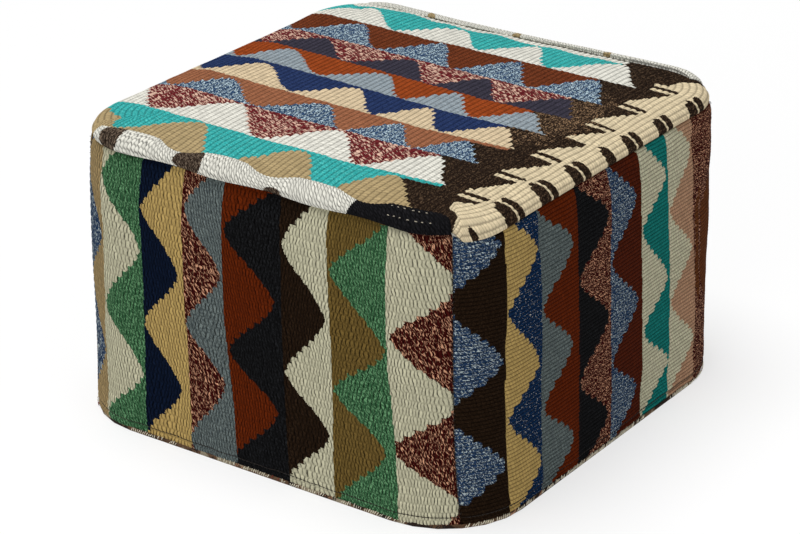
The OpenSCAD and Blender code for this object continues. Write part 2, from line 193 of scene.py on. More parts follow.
def top_place(a, b):
    """A point of the top panel, a and b measured over the surface from its middle."""
    flat = TOP_R - EDGE_R
    q = np.clip(np.stack([a, b], -1), -STRAIGHT, STRAIGHT)
    w = np.stack([a, b], -1) - q
    m = np.abs(w).max(-1)
    n = w / np.maximum(np.linalg.norm(w, axis=-1, keepdims=True), 1e-9)
    corner = np.degrees(np.arctan2(np.abs(w[..., 0]), np.maximum(np.abs(w[..., 1]), 1e-9)))
    thin = ramp(q[..., 0], -STRAIGHT, 2 * STRAIGHT)
    drop = seam_drop(np.where(w[..., 1] > 0, 1 - thin, thin), ramp(corner, 30, 15))
    arc = np.pi / 2 - np.arcsin(1 - drop / EDGE_R)
    phi = ramp(m, flat, SIDE_ARC * EDGE_R) * arc
    rho = np.where(m < flat, m, flat + EDGE_R * np.sin(phi))
    p = q + n * rho[..., None]
    g = np.clip(p / TOP_HALF, -1, 1)
    z = RIM_H - EDGE_R * (1 - np.cos(phi)) + CROWN_H * (1 - g[..., 0] ** 2) * (1 - g[..., 1] ** 2)
    return unevenly_filled(np.stack([p[..., 0], p[..., 1], z], -1))


# The pattern: upright or level bands, each split by a zigzag between two yarns

def zigzag(t, high_tips, low_tips, low, high, run_on):
    points = sorted([(x, high) for x in high_tips] + [(x, low) for x in low_tips])
    first, last = points[0], points[-1]
    step = (last[0] - first[0]) / (len(points) - 1)
    if run_on:
        points = [(first[0] - step, low + high - first[1]), *points, (last[0] + step, low + high - last[1])]
    part = (np.interp(t, [p[0] for p in points], [p[1] for p in points]) - low) / (high - low)
    rounded = 0.5 - 0.5 * np.cos(np.pi * part)
    return low + (high - low) * (0.4 * part + 0.6 * rounded)


# Left edge, left yarn, right yarn, heights where each reaches across, and how far the left yarn's tips stop
# short of the right edge where it is not the usual distance
PATTERN_END, TIP_GAP = 290, 4
SIDE_BANDS = [[
    (-290, "denim", "tan", (250, 97), (345, 180, 15)),
    (-240, "stone", "green", (250, 85), (335, 163, 12)),
    (-171, "navy", "wheat", (382, 232, 81), (307, 155, 5), 9),
    (-104, "maroon_mix", "slate", (395, 250, 107), (322, 175, 20)),
    (-39, "rust", "black", (385, 237, 94), (312, 157, 10), 9),
    (47, "bark", "stone", (400, 235, 87), (315, 150, 12)),
    (117, "olive", "green", (378, 217, 88), (300, 150, 8)),
    (198, "stone", "maroon_mix", (312, 165, 33), (405, 238, 98)),
], [
    (-290, "denim", "bark", (345, 200, 68), (283, 146, 14)),
    (-213, "wheat", "navy_mix", (315, 172, 48), (380, 258, 122, -12)),
    (-143, "slate", "rust", (300, 170, 47), (362, 237, 108, -14), 12),
    (-71, "black", "maroon_mix", (305, 175, 45), (370, 245, 110, -20)),
    (1, "denim", "sienna", (305, 170, 50), (370, 240, 107, -15), 11),
    (75, "stone", "teal", (308, 170, 55), (385, 256, 118, 0)),
    (140, "stone", "pink", (325, 190, 62), (258, 130, 5)),
    (200, "maroon_mix", "umber", (315, 45), (232, 140), -20),
    (212, "maroon_mix", "umber", (315, 45), (232, 140)),
], [
    (-290, "rust", "stone", (340, 200, 60), (270, 130, -10)),
    (-212, "denim", "bark", (365, 225, 85), (295, 155, 15)),
    (-142, "wheat", "teal", (330, 190, 50), (260, 120, -20)),
    (-70, "maroon_mix", "slate", (350, 210, 70), (280, 140, 0)),
    (0, "green", "stone", (320, 180, 40), (250, 110, -30)),
    (70, "black", "rust", (345, 205, 65), (275, 135, -5)),
    (142, "navy", "wheat", (325, 185, 45), (255, 115, -25)),
    (212, "pink", "olive", (350, 210, 70), (280, 140, 0)),
], [
    (-290, "sienna", "denim", (350, 205, 60), (277, 132, -12)),
    (-210, "stone", "maroon_mix", (330, 185, 40), (257, 112, -32)),
    (-140, "charcoal", "green", (360, 215, 70), (287, 142, -3)),
    (-72, "wheat", "navy_mix", (335, 190, 45), (262, 117, -27)),
    (2, "slate", "umber", (350, 205, 60), (277, 132, -12)),
    (74, "teal", "stone", (325, 180, 35), (252, 107, -37)),
    (144, "rust", "black", (355, 210, 65), (282, 137, -8)),
    (212, "olive", "tan", (340, 195, 50), (267, 122, -22)),
]]
# How far each upright band of the front leans to the right at the hem
FRONT_LEAN = (0, 0, 2, 6, 9, 2, 2, 10, 10)

# Near edge, near yarn, far yarn, where each reaches across, where the far yarn ends
TOP_BANDS = [
    (-262, "tan", "turquoise", (-313, -155, 3, 133), (-400, -250, -90, 68, 200), 190),
    (-190, "white", "rose_mix", (-313, -155, 3, 143), (-400, -238, -75, 75, 192), 60),
    (-119, "denim", "clay", (-340, -215, -63, 50, 143), (-275, -140, 0, 101, 192), 193),
    (-61, "wheat", "navy", (-340, -215, -63, 50, 155), (-275, -130, 3, 100, 198), 60),
    (0, "slate", "rust", (-340, -220, -63, 50, 155), (-275, -137, 0, 106, 201), 60),
    (59, "charcoal", "rose_mix", (-340, -210, -65, 50, 165), (-275, -140, -4, 104, 203), 60),
    (121, "denim", "sienna", (-335, -205, -75, 45, 157), (-272, -135, -12, 104, 206), 60),
    (195, "white", "turquoise", (-375, -245, -95, 20, 147), (-310, -160, -25, 85, 206), 60),
]
TOP_BANDS_END = 268

SCALLOP = 2.4
ROW_SHIFT = np.random.RandomState(5).uniform(-1.0, 1.0, 97)
LUCK = np.random.RandomState(9).uniform(0.0, 1.0, 997)


def stepped(t, rib, band, low, high, run_on, smooth_falls):
    """A band's zigzag woven in ribs: one step for each rib, with the lighter yarn's ends rounded."""
    near, far, near_tips, far_tips = band[1:5]

    def line_at(place):
        return zigzag(place, near_tips, far_tips, low, high, run_on)

    row = np.floor(t / rib)
    middle = (row + 0.5) * rib
    from_middle = 2 * (t - middle) / rib
    exact = line_at(t)
    falls = smooth_falls & (line_at(t + 4) < exact)
    share = np.where(falls, 0.25, 0.72)
    line = share * line_at(middle) + (1 - share) * exact
    swelling = np.where(falls, 1.5, SCALLOP) * (0.5 - from_middle ** 2)
    uneven = ROW_SHIFT[row.astype(int) % len(ROW_SHIFT)] + 1.3 * np.sin(t / 29 + near_tips[0])
    near_is_lighter = sum(YARN_LOOKS[near][0]) > sum(YARN_LOOKS[far][0])
    return line + uneven + (swelling if near_is_lighter else -swelling)


def float_luck(a, b):
    """A chance value from 0 to 1 for each float of the top."""
    return LUCK[(np.floor(b / DASH).astype(int) * 73 + np.floor(a / TOP_RIB).astype(int) * 151) % len(LUCK)]


def unskewed_side(side, s, z):
    """Places in the pattern: the cover sits a little twisted and stretched on the cushion."""
    up, along = (z - 182) / 168, s / 220
    if side == FRONT:
        by_left = 4.5 * ramp(z, 140, 110) * ramp(-s, 60, 40)
        by_left += 6 * ramp(-s, 205, 40) * bell(z - 210, 75)
        by_left += 5 * ramp(-s, 130, 30) * ramp(z, 300, 40)
        return s - by_left + 4 + 4.2 * up + 4.5 * along, z + 4.5 + 2.3 * up + 2 * along
    if side == RIGHT:
        by_seam = 9 * ramp(z, 130, 110) * ramp(s, -30, 80) * ramp(-s, -245, 60)
        by_hem = 7 * ramp(-z, -70, 30) * ramp(s, -30, 60)
        by_wheat = 5 * bell(s + 155, 25)
        return s + by_seam + by_hem + by_wheat + 3.5 + 4 * up - 4.5 * along, z - 0.8 - 1.5 * along
    return s, z


def unskewed_top(a, b):
    x, y = a / 100, b / 100
    return a - 2 + 2.4 * x - 0.35 * x ** 2, b + 4.8 - 2.0 * y - 0.3 * x * np.maximum(0, y)


def drawn_over_crown(a, b, bands_back=0.0):
    """Places in the pattern before the crown drew the top panel to the right and forward."""
    by_comb, near = ramp(a, 130, 90), ramp(-b, 60, 100)
    right = 5.5 * (1 - (a / 300) ** 2) + 8 * by_comb * (1 - 0.5 * near)
    forward = 4 + 8 * np.maximum(0, 1 - (a / 260) ** 2) * (1 - (b / 330) ** 2) + 3.5 * by_comb * near
    by_ends = ramp(a, 90, 110) * (1 - 0.7 * ramp(b, 60, 140))
    forward -= bands_back * by_ends * (1 - 0.1 * near)
    return a - right, b + forward


def side_pattern(side, s, z):
    s, z = unskewed_side(side, s, z)
    found = np.full(s.shape, Y["bark"])
    bands = SIDE_BANDS[side]
    edges = [band[0] for band in bands] + [PATTERN_END]
    low_down = ramp(-z, -200, 160)
    borders = [at + 1.4 * np.sin(z / 47 + 1.7 * k) + (FRONT_LEAN[k] * low_down if side == FRONT else 0)
               for k, at in enumerate(edges)]
    for n, (left, near, far, _, _, *gap) in enumerate(bands):
        right = edges[n + 1] - (gap[0] if gap else TIP_GAP)
        line = stepped(z, SIDE_RIB, bands[n], left + 3, right, True, side == FRONT)
        inside = (s >= borders[n]) & (s < borders[n + 1])
        found = np.where(inside, np.where(s < line, Y[near], Y[far]), found)
    return found


def top_pattern(a, b):
    hanging = comb_marks(*unskewed_top(a, b + 6 * ramp(b, 60, 80)))
    comb_a, comb_b = unskewed_top(*drawn_over_crown(a, b))
    a, b = unskewed_top(*drawn_over_crown(a, b, 12.0))
    level = b + (0.012 + 0.045 * bell(b - 40, 110)) * a
    fleck = ((a - 190) / 40) ** 2 + ((b - 45) / 90) ** 2 < 0.35 + 1.1 * float_luck(a, b)
    found = np.where(fleck, Y["bark_mix"], Y["bark"])
    edges = [band[0] for band in TOP_BANDS] + [TOP_BANDS_END]
    for n, (low, near, far, near_tips, far_tips, end) in enumerate(TOP_BANDS):
        high = edges[n + 1]
        line = stepped(a, TOP_RIB, TOP_BANDS[n], low, high - TIP_GAP, False, False)
        inside = (level >= low) & (level < high)
        near_on = inside & (level < line) & (a < far_tips[-1])
        far_on = inside & (level >= line) & ((a < near_tips[-1]) | ((a < end) & (level > high - 7)))
        found = np.where(near_on, Y[near], np.where(far_on, Y[far], found))
    found = np.where((level < edges[0]) & (a < 200), Y["tan"], found)
    found = np.where((level >= edges[-1]) & (a < 150), Y["white"], found)
    found = np.where(comb_a > comb_edge(comb_b), Y["cream"], found)
    return np.where(hanging, Y["bark"], found)


# The comb along the right of the top: where each stair starts, its peak, and where the next stair starts
COMB = ((-238, -197, -172), (-172, -128, -108), (-108, -60, -38), (-38, 11, 14), (14, 56, 84),
        (84, 128, 156), (156, 200, 226))
FINGER = 7.0
WEDGE = 33


def comb_edge(b):
    """Where the cream of the comb begins, as distance to the right of the middle."""
    edge = np.interp(b, (-298, -290, -282, -271, -260, -249, -240), (298, 284, 277, 272, 270, 258, 240))
    for start, peak, stop in COMB:
        part = ramp(b, start, peak - start)
        steps = (np.floor(part * 5) + 0.5) / 5
        stair = 224 + 31 * (0.7 * steps + 0.3 * part)
        stair = np.where((b < -195) & (b < peak), np.maximum(stair, 239), stair)
        dark = (b > peak + FINGER) & (b < peak + 2 * FINGER) & (stop - peak > 3 * FINGER - 2)
        pale_end = 220 + 2.5 * (((b - peak) / FINGER) % 1.0 * 2 - 1) ** 2
        after = np.where(dark, 256 - 3 * ((b - peak - 1.5 * FINGER) / FINGER) ** 2, pale_end)
        edge = np.where((b >= start) & (b < peak), stair, np.where((b >= peak) & (b < stop), after, edge))
    return np.where(b > 226, np.interp(b, (226, 263, 279, 285), (238, 255, 279, 302)), edge)


def comb_marks(a, b):
    """The dark wedge and the dark block beside it that hang from the seam over each tooth."""
    marks = ((b + 263) / 6.5) ** 2 + ((a - 300) / 9) ** 2 < 1
    for start_b, start_a, run_b, run_a in ((-283, 277, 31, -54), (-249, 262, 9, -40)):
        db, da = b - start_b, a - start_a
        along = np.clip((db * run_b + da * run_a) / (run_b ** 2 + run_a ** 2), 0, 1)
        marks = marks & (np.hypot(db - along * run_b, da - along * run_a) > 3.6)
    for start, peak, stop in COMB:
        tip = 274 + 0.04 * peak
        slope = ramp(b - peak, -WEDGE, WEDGE)
        slope = 0.6 * np.floor(slope * 4) / 4 + 0.4 * slope
        wedge = (b > peak - WEDGE) & (b < peak + 8) & (a > 303 - (303 - tip) * slope)
        wedge = wedge & (a > tip + 5 * (np.abs(b - peak - 1) / 7) ** 3)
        block = (b > peak + 12) & (b < peak + 24) & (stop - peak > 3 * FINGER - 2)
        block = block & (a > tip + 2 + 4 * (np.abs(b - peak - 18) / 6) ** 3)
        marks = marks | wedge | block
    return marks & (a > 262)


# Dark lobes on the front roll: middle along and around, half width, widening downwards, half height, lean
ROLL_LOBES = ((-227, 0.38, 17, 4, 0.46, 14), (-97, 0.4, 22, 12, 0.5, 10), (36, 0.02, 13, 4, 0.22, 0))
ROLL_BLACK = 148


def front_roll_pattern(along, around):
    """around runs from the seam (0) to the inner edge on the top (1)."""
    along = unskewed_side(FRONT, along, RIM_H)[0]
    found = np.full(along.shape, Y["white"])
    for middle, level, wide, spread, tall, lean in ROLL_LOBES:
        across = np.abs(along - middle + lean * (around - level)) / (wide + spread * (level - around))
        found = np.where(across ** 2 + (np.abs(around - level) / tall) ** 2.3 < 1, Y["bark"], found)
    return np.where(along > ROLL_BLACK - 6 + 16 * around, Y["black"], found)


def back_roll_pattern(along, around):
    marks = np.abs(np.mod(along + 56, 142) - 71) < 6 * np.clip(3 * around - 1.2, 0, 1)
    return np.where(marks & (along > -150), Y["tan"], Y["white"])


# Materials

def linear(r, g, b):
    return (*(v / 255 / 12.92 if v < 11 else ((v / 255 + 0.055) / 1.055) ** 2.4 for v in (r, g, b)), 1.0)


class Tree:
    """Short calls for making node trees."""

    def __init__(self, tree):
        self.tree = tree

    def fill(self, node, inputs):
        for slot, value in inputs.items():
            socket = node.inputs[slot]
            if isinstance(value, bpy.types.NodeSocket):
                self.tree.links.new(value, socket)
            else:
                socket.default_value = value

    def add(self, kind, *values, inputs=None, **settings):
        node = self.tree.nodes.new("ShaderNode" + kind)
        for key, value in settings.items():
            setattr(node, key, value)
        self.fill(node, {**dict(enumerate(values)), **(inputs or {})})
        return node

    def math(self, kind, *values):
        return self.add("Math", *values, operation=kind).outputs[0]

    def plus(self, a, b):
        return self.math("ADD", a, b)

    def minus(self, a, b):
        return self.math("SUBTRACT", a, b)

    def times(self, product, *others):
        for value in others:
            product = self.math("MULTIPLY", product, value)
        return product

    def vector(self, x, y, z):
        return self.add("CombineXYZ", x, y, z).outputs[0]

    def stretched(self, place, scale):
        return self.add("Mapping", place, inputs={"Scale": scale}).outputs[0]

    def mix(self, factor, a, b, blend="MIX"):
        inputs = {0: factor, 6: a, 7: b}
        return self.add("Mix", data_type="RGBA", blend_type=blend, inputs=inputs).outputs[2]

    def range(self, value, low, high, to_low=0.0, to_high=1.0, kind="LINEAR"):
        return self.add("MapRange", value, low, high, to_low, to_high, interpolation_type=kind).outputs[0]

    def noise(self, place, scale, detail, rough):
        inputs = {"Scale": scale, "Detail": detail, "Roughness": rough}
        return self.add("TexNoise", place, inputs=inputs).outputs["Fac"]

    def chance(self, place):
        return self.add("TexWhiteNoise", place, noise_dimensions="2D").outputs["Value"]


def weave_group():
    """Height, tone, and place within the yarns, from the piece's own weave coordinates.

    Slit is how dark the long slits between floats are, and End how far the rows part at their ends."""
    group = bpy.data.node_groups.new("weave_form", "ShaderNodeTree")
    for way, names in (("INPUT", ("Slit", "End")), ("OUTPUT", ("Height", "Tone", "Place"))):
        for name in names:
            kind = "Vector" if name == "Place" else "Float"
            group.interface.new_socket(name=name, in_out=way, socket_type="NodeSocket" + kind)
    t = Tree(group)
    depth = t.tree.nodes.new("NodeGroupInput").outputs
    source = t.add("Attribute", attribute_name="weave", attribute_type="GEOMETRY")
    x, y, lean = t.add("SeparateXYZ", source.outputs["Vector"]).outputs
    x, y = t.plus(x, 200.0), t.plus(y, 200.0)
    row = t.math("FLOOR", y)
    shift = t.times(t.math("MODULO", row, 2.0), 0.5)
    fy = t.times(t.minus(t.minus(y, row), 0.5), 2.0)
    slanted = t.plus(t.plus(x, shift), t.times(fy, lean))
    column = t.math("FLOOR", slanted)
    fx = t.times(t.minus(t.minus(slanted, column), 0.5), 2.0)
    luck = t.chance(t.vector(t.math("FLOOR", t.plus(slanted, 0.5)), row, 0.0))
    slit = t.range(t.math("ABSOLUTE", fx), 0.42, 0.98, kind="SMOOTHSTEP")
    length = t.minus(1.0, t.times(fy, fy, t.range(luck, 0.0, 1.0, 1.0, 0.7)))
    slit = t.times(slit, length, t.range(luck, 0.0, 1.0, 0.75, 1.1))
    parting = t.range(t.math("ABSOLUTE", fy), 0.35, 1.05, kind="SMOOTHSTEP")
    height = t.minus(1.0, t.times(slit, depth["Slit"]))
    height = t.minus(height, t.times(parting, depth["End"]))
    tone = t.chance(t.vector(column, row, 0.0))
    down = t.times(y, SIDE_RIB)
    leaning = t.plus(t.times(slanted, DASH), t.times(down, FLECK_LEAN))
    place = t.vector(leaning, down, t.times(tone, 37.0))
    out = t.tree.nodes.new("NodeGroupOutput")
    t.fill(out, {"Height": height, "Tone": tone, "Place": place})
    return group


class Finish(Tree):
    """A material whose colour is shaded and whose surface is embossed."""

    def __init__(self, name, rough, sheen, specular=0.03):
        self.material = bpy.data.materials.new(name)
        self.material.use_nodes = True
        super().__init__(self.material.node_tree)
        self.surface = self.tree.nodes["Principled BSDF"]
        self.place = self.add("TexCoord").outputs["Object"]
        self.fill(self.surface, {"Roughness": rough, "Sheen Weight": sheen, "Sheen Roughness": 0.5,
                                 "Specular IOR Level": specular})

    def shade(self, color, *shades):
        grey = self.times(*shades)
        shaded = self.mix(1.0, color, self.vector(grey, grey, grey), "MULTIPLY")
        self.fill(self.surface, {"Base Color": shaded})

    def emboss(self, height, strength, depth):
        """Presses the height in, depth millimetres deep, and gives the finished material."""
        bump = self.add("Bump", inputs={"Strength": strength, "Distance": depth * MM, "Height": height})
        self.fill(self.surface, {"Normal": bump.outputs[0]})
        return self.material


# Scales of the flecks across and along the yarn
STROKE, FLOAT_FLECK, FINE = (0.36, 0.085), (0.27, 0.12), (0.36, 0.16)
TOP_STROKE, TOP_FLECK = (0.17, 0.03), (0.16, 0.2)


def yarn_material(name, form, base, fleck=None, share=0.3, scale=FINE):
    """Woven yarn, with flecks of a second colour that take up a share of it."""
    t = Finish("yarn_" + name, 0.95, 0.0)
    weave = t.add("Group", node_tree=WEAVE, inputs={"Slit": form[0], "End": form[1]})
    height, cell, place = weave.outputs
    color = linear(*base)
    if fleck:
        flecks = t.noise(t.stretched(place, (*scale, 1.0)), 2.2, 1.0, 0.5)
        cut = float(np.interp(share, (0.01, 0.03, 0.1, 0.2, 0.3, 0.5), (0.72, 0.68, 0.63, 0.585, 0.55, 0.5)))
        color = t.mix(t.range(flecks, cut - 0.02, cut + 0.02), color, linear(*fleck))
    fibre = t.noise(t.stretched(place, (1.3, 0.3, 1.0)), 1.0, 4.0, 0.65)
    spread = 0.26 if form in (SIDE_FORM, RIBBED_FORM) else 0.19
    fibres = t.range(fibre, 0.25, 0.75, 0.97 - spread, 0.97 + spread)
    t.shade(color, t.range(cell, 0.0, 1.0, 0.88, 1.12), fibres, t.range(height, 0.1, 0.85, GAP_SHADE, 1.0))
    return t.emboss(t.plus(height, t.times(fibre, 0.5)), 0.8, 1.0)


def cloth_material(name, base, pitch, depth):
    """Plain-woven cloth in the object's own coordinates: crossing threads, slubs and soft shading."""
    t = Finish(name, 0.9, 0.15)
    x, y, z = t.add("SeparateXYZ", t.place).outputs
    turns = 2 * math.pi / (pitch * MM)
    threads = t.times(t.math("SINE", t.times(x, turns)), t.math("SINE", t.times(t.plus(y, z), turns)))
    slub = t.noise(t.place, 900.0, 3.0, 0.6)
    cloud = t.noise(t.place, 14.0, 3.0, 0.55)
    t.shade(linear(*base), t.range(threads, -1, 1, 0.86, 1.06), t.range(slub, 0.3, 0.7, 0.9, 1.08),
            t.range(cloud, 0.3, 0.7, 0.92, 1.08))
    return t.emboss(t.plus(threads, slub), 0.6, depth)


def mixed_thread_material():
    """Wound thread that changes from dark brown to tan and cream in runs along the edge."""
    t = Finish("thread_mix", 0.95, 0.05)
    x, y, z = t.add("SeparateXYZ", t.place).outputs
    wound = t.plus(t.plus(x, y), t.times(z, 0.6))
    turns = t.math("SINE", t.times(wound, 2 * math.pi / (2.2 * MM)))
    patch = t.noise(t.place, 34.0, 2.0, 0.55)
    color = t.mix(t.range(patch, 0.46, 0.5), linear(52, 38, 30), linear(118, 88, 64))
    color = t.mix(t.range(patch, 0.56, 0.6), color, linear(178, 164, 138))
    t.shade(color, t.range(turns, -1, 1, 0.4, 1.05))
    return t.emboss(turns, 0.8, 0.6)


def foam_material(name, base, cell):
    """Open-cell foam: pits between fine walls, cell millimetres apart."""
    t = Finish(name, 0.95, 0.05)
    pits = t.add("TexVoronoi", t.place, feature="F1", inputs={"Scale": 1000.0 / cell})
    depth = t.range(pits.outputs["Distance"], 0.1, 0.6)
    cloud = t.noise(t.place, 9.0, 2.0, 0.5)
    t.shade(linear(*base), t.range(depth, 0, 1, 0.7, 1.05), t.range(cloud, 0.3, 0.7, 0.94, 1.04))
    return t.emboss(depth, 0.7, 0.5)


def wadding_material():
    t = Finish("wadding_fibre", 1.0, 0.3)
    fluff = t.noise(t.place, 60.0, 6.0, 0.7)
    strands = t.noise(t.place, 420.0, 5.0, 0.75)
    shades = t.range(fluff, 0.3, 0.7, 0.88, 1.03), t.range(strands, 0.3, 0.7, 0.9, 1.05)
    t.shade(linear(244, 244, 242), *shades)
    return t.emboss(t.plus(fluff, strands), 0.8, 1.5)


def hard_material(name, base, worn, metallic, rough, grain):
    """Moulded plastic or aged metal, a little worn and uneven."""
    t = Finish(name, rough, 0.0, 0.5)
    tarnish = t.range(t.noise(t.place, 160.0, 4.0, 0.6), 0.42, 0.66)
    fine = t.noise(t.place, grain, 3.0, 0.6)
    t.fill(t.surface, {"Metallic": metallic, "Base Color": t.mix(tarnish, linear(*base), linear(*worn)),
                       "Roughness": t.range(fine, 0.3, 0.7, rough - 0.08, rough + 0.12)})
    return t.emboss(fine, 0.3, 0.05)


GAP_SHADE = 0.12
SIDE_FORM, RIBBED_FORM, TOP_FORM, ROLL_FORM = (0.95, 0.32), (0.42, 0.6), (0.42, 0.55), (0.8, 0.5)
WEAVE = weave_group()
# The colour of each yarn, the colour of its flecks, their share and their scale
TOP_LOOKS = {
    "tan": ((173, 152, 112),),
    "turquoise": ((48, 162, 160), (84, 190, 184)),
    "white": ((223, 221, 210),),
    "rose_mix": ((104, 34, 38), (214, 176, 156), 0.33, TOP_STROKE),
    "denim": ((46, 70, 102), (178, 198, 206), 0.34, TOP_FLECK),
    "clay": ((155, 101, 72), (140, 88, 62)),
    "wheat": ((213, 192, 158),),
    "navy": ((42, 58, 97), (30, 44, 82), 0.35),
    "slate": ((152, 162, 168), (134, 146, 154), 0.4),
    "rust": ((151, 70, 30), (136, 60, 26)),
    "charcoal": ((53, 51, 62), (66, 62, 75)),
    "sienna": ((114, 58, 33), (84, 40, 22)),
    "bark": ((36, 26, 19), (84, 66, 50), 0.2, TOP_FLECK),
    "bark_mix": ((44, 33, 25), (142, 114, 86), 0.26, TOP_FLECK),
    "cream": ((217, 200, 166),),
}
# The yarns of the sides, coloured darker than the top's as painted shade for the sides' lower light
SHADED_SIDE_LOOKS = {
    "tan": ((156, 134, 94),),
    "denim": ((34, 56, 86), (176, 188, 190), 0.2, FLOAT_FLECK),
    "wheat": ((179, 151, 92),),
    "navy": ((8, 18, 36), (14, 25, 46)),
    "slate": ((77, 86, 87), (108, 118, 116), 0.5),
    "rust": ((96, 35, 7), (80, 28, 5)),
    "charcoal": ((40, 38, 46), (52, 50, 58)),
    "sienna": ((80, 30, 12), (62, 22, 9)),
    "bark": ((29, 18, 9), (44, 31, 20), 0.28),
    "stone": ((193, 189, 161),),
    "green": ((48, 88, 57), (98, 144, 103), 0.35),
    "maroon_mix": ((58, 14, 11), (208, 155, 123), 0.2, STROKE),
    "black": ((15, 15, 16), (30, 31, 33)),
    "olive": ((109, 88, 44), (92, 73, 35)),
    "navy_mix": ((14, 40, 72), (196, 194, 186), 0.035, FLOAT_FLECK),
    "teal": ((17, 110, 104), (28, 124, 117)),
    "pink": ((170, 131, 103), (184, 147, 118), 0.35),
    "umber": ((102, 57, 28), (84, 45, 22)),
}
ROLL_LOOKS = {
    "white": TOP_LOOKS["white"],
    "tan": TOP_LOOKS["tan"],
    "black": ((20, 20, 22), (34, 33, 36), 0.25),
    "bark": ((50, 40, 33), (112, 97, 82), 0.4, TOP_FLECK),
}
YARN_LOOKS = {**TOP_LOOKS, **SHADED_SIDE_LOOKS}
# The number of each yarn
Y = {name: n for n, name in enumerate(YARN_LOOKS)}


def yarn_set(kind, form, looks):
    return {Y[name]: yarn_material(kind + name, form, *look) for name, look in looks.items()}


TOP_YARNS = yarn_set("top_", TOP_FORM, TOP_LOOKS)
# The side panels' yarns carry painted shade in their darker colours
SHADED_SIDE_YARNS = yarn_set("side_", SIDE_FORM, SHADED_SIDE_LOOKS)
SHADED_RIBBED_YARNS = yarn_set("ribbed_", RIBBED_FORM, SHADED_SIDE_LOOKS)
ROLL_YARNS = yarn_set("roll_", ROLL_FORM, ROLL_LOOKS)
CANVAS = cloth_material("canvas_cloth", (200, 184, 148), 1.5, 0.3)
TAPE = cloth_material("tape_cloth", (190, 172, 138), 0.9, 0.15)
LINER = cloth_material("liner_cloth", (234, 229, 216), 0.8, 0.12)
THREAD_COLORS = {"pale": (232, 224, 200), "dark": (40, 32, 27), "dull": (196, 186, 166),
                 "tan": (184, 138, 108), "brick": (122, 46, 28)}
THREADS = {name: cloth_material("thread_" + name, color, 0.8, 0.2) for name, color in THREAD_COLORS.items()}
THREAD_MIX = mixed_thread_material()
SOFT_FOAM = foam_material("foam_soft", (240, 232, 190), 1.1)
FIRM_FOAM = foam_material("foam_firm", (228, 216, 164), 1.5)
WADDING = wadding_material()
PLASTIC = hard_material("zip_plastic_dark", (38, 36, 34), (58, 55, 52), 0.0, 0.42, 1200.0)
BRASS = hard_material("zip_brass", (168, 134, 72), (118, 92, 52), 1.0, 0.38, 1500.0)


# Meshes and objects

def mesh_from(bm, name):
    mesh = bpy.data.meshes.new(name)
    bm.to_mesh(mesh)
    bm.free()
    return mesh


def points_of(mesh):
    co = np.empty(len(mesh.vertices) * 3, np.float32)
    mesh.vertices.foreach_get("co", co)
    return co.reshape(-1, 3)


def move_points(mesh, p):
    mesh.vertices.foreach_set("co", (p * MM).astype(np.float32).ravel())


def smoothed(mesh):
    mesh.polygons.foreach_set("use_smooth", np.ones(len(mesh.polygons), bool))


def plain_grid(name, rows, cols):
    """A flat grid of quads, with the column and the row of each of its vertices."""
    bm = bmesh.new()
    bmesh.ops.create_grid(bm, x_segments=cols - 1, y_segments=rows - 1, size=1.0)
    mesh = mesh_from(bm, name)
    co = points_of(mesh)
    i, j = (np.rint((co[:, k] + 1) / 2 * (count - 1)).astype(int) for k, count in enumerate((cols, rows)))
    return mesh, i, j


def in_scene(name, data):
    thing = bpy.data.objects.new(name, data)
    bpy.context.scene.collection.objects.link(thing)
    return thing


def place(mesh, name, slot_name, replaced=()):
    piece = in_scene(name, mesh)
    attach(piece, "pouf")
    if replaced:
        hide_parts(*replaced)
    return piece


# Woven pieces

def swell(p, scale, amount, seed):
    """Slow unevenness, made of a few waves."""
    waves = np.random.RandomState(seed)
    total = np.zeros(p.shape[:-1])
    for n in range(6):
        k = waves.normal(size=3) / scale
        total += np.sin(p @ k + waves.uniform(0, 6.3))
    return amount * total / 6


def hand_weave(x, y, seed):
    """Weave coordinates with the unevenness of handwork: yarns drift, bunch and lean."""
    flat = np.stack([x, 2 * y, 0 * x], -1)
    across = x + swell(flat, 12.0, 2.6, seed) + swell(flat, 3.0, 0.8, seed + 1)
    across = across + swell(flat, 0.6, 0.3, seed + 2)
    along = y + swell(flat, 14.0, 0.35, seed + 3)
    return np.stack([across, along, 0.06 + swell(flat, 9.0, 0.3, seed + 4)], -1)


def weave_relief(weave, depth, ribs):
    """Height of the floats in millimetres; ribs is the share of it that whole rows take."""
    y = weave[..., 1]
    row = np.floor(y)
    fy = 2 * (y - row - 0.5)
    slanted = weave[..., 0] + 0.5 * np.mod(row, 2) + weave[..., 2] * fy
    fx = 2 * (slanted - np.floor(slanted) - 0.5)
    lens = np.sqrt(np.maximum(0, 1 - (fx / 1.1) ** 2))
    return depth * (ribs * (1 - fy ** 2) + (1 - ribs) * lens * (1 - 0.3 * fy ** 2) - 0.4)


def normals_of(p):
    n = np.cross(np.gradient(p, axis=1), np.gradient(p, axis=0))
    return n / np.maximum(np.linalg.norm(n, axis=-1, keepdims=True), 1e-9)


